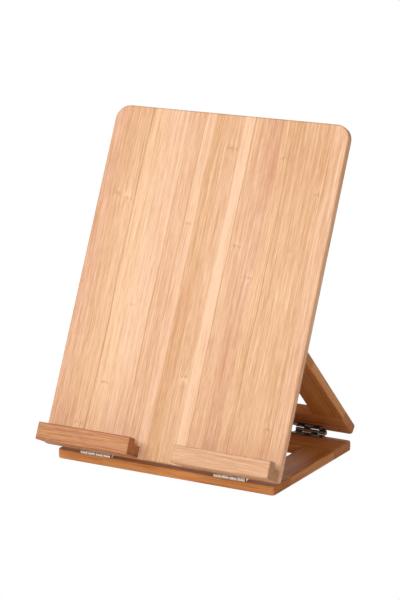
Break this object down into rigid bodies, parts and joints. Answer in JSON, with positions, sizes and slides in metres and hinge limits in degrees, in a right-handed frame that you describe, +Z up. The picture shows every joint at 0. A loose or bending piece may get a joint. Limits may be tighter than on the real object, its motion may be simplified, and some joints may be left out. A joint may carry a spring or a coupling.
{
  "type": "folding display stand",
  "caption": "Folding bamboo stand that holds an open photo album, book or tablet upright: a leaning board with two ledges, hinged to a flat base and propped from behind.",
  "frame": {"origin": "on the floor, at the middle of the footprint of the set-up stand", "axes": "+Z up, -Y the side that the leaning board faces, X along the hinges; the board's face looks towards -Y"},
  "size_m": [0.26, 0.2102, 0.335],
  "materials": {
    "board_bamboo": "clear matt lacquer",
    "ledge_bamboo": "clear matt lacquer",
    "base_bamboo": "clear matt lacquer",
    "prop_bamboo": "clear matt lacquer",
    "dowels": "plain turned",
    "hinge_leaves": "nickel plated",
    "hinge_pins": "nickel plated",
    "screws": "nickel plated"
  },
  "bodies": {
    "base": {"base_dowels": "dowels", "base_front_rail": "base_bamboo", "base_left_stile": "base_bamboo", "base_rear_rail": "base_bamboo", "base_right_stile": "base_bamboo", "front_hinge_base_screws": "screws", "front_left_hinge_base_leaf": "hinge_leaves", "front_left_hinge_pin": "hinge_pins", "front_right_hinge_base_leaf": "hinge_leaves", "front_right_hinge_pin": "hinge_pins", "rear_hinge_base_screws": "screws", "rear_left_hinge_base_leaf": "hinge_leaves", "rear_left_hinge_pin": "hinge_pins", "rear_right_hinge_base_leaf": "hinge_leaves", "rear_right_hinge_pin": "hinge_pins"},
    "board": {"front_board": "board_bamboo", "front_hinge_board_screws": "screws", "front_left_hinge_board_leaf": "hinge_leaves", "front_right_hinge_board_leaf": "hinge_leaves", "left_ledge": "ledge_bamboo", "left_ledge_screws": "screws", "right_ledge": "ledge_bamboo", "right_ledge_screws": "screws"},
    "prop": {"prop_bottom_rail": "prop_bamboo", "prop_dowels": "dowels", "prop_left_stile": "prop_bamboo", "prop_right_stile": "prop_bamboo", "prop_top_rail": "prop_bamboo", "rear_hinge_prop_screws": "screws", "rear_left_hinge_prop_leaf": "hinge_leaves", "rear_right_hinge_prop_leaf": "hinge_leaves"}
  },
  "joints": [
    {"name": "board_tilt", "type": "hinge", "parent": "base", "child": "board", "pos_m": [0, -0.07577, 0.0123], "axis": [1, 0, 0], "range_deg": [-64.27, 20]},
    {"name": "prop_swing", "type": "hinge", "parent": "base", "child": "prop", "pos_m": [0, 0.09823, 0.0123], "axis": [1, 0, 0], "range_deg": [-136.9, 43.1]}
  ],
  "couplings": [
    {"joint": "prop_swing", "follows": "board_tilt", "ratio": 2.13}
  ]
}
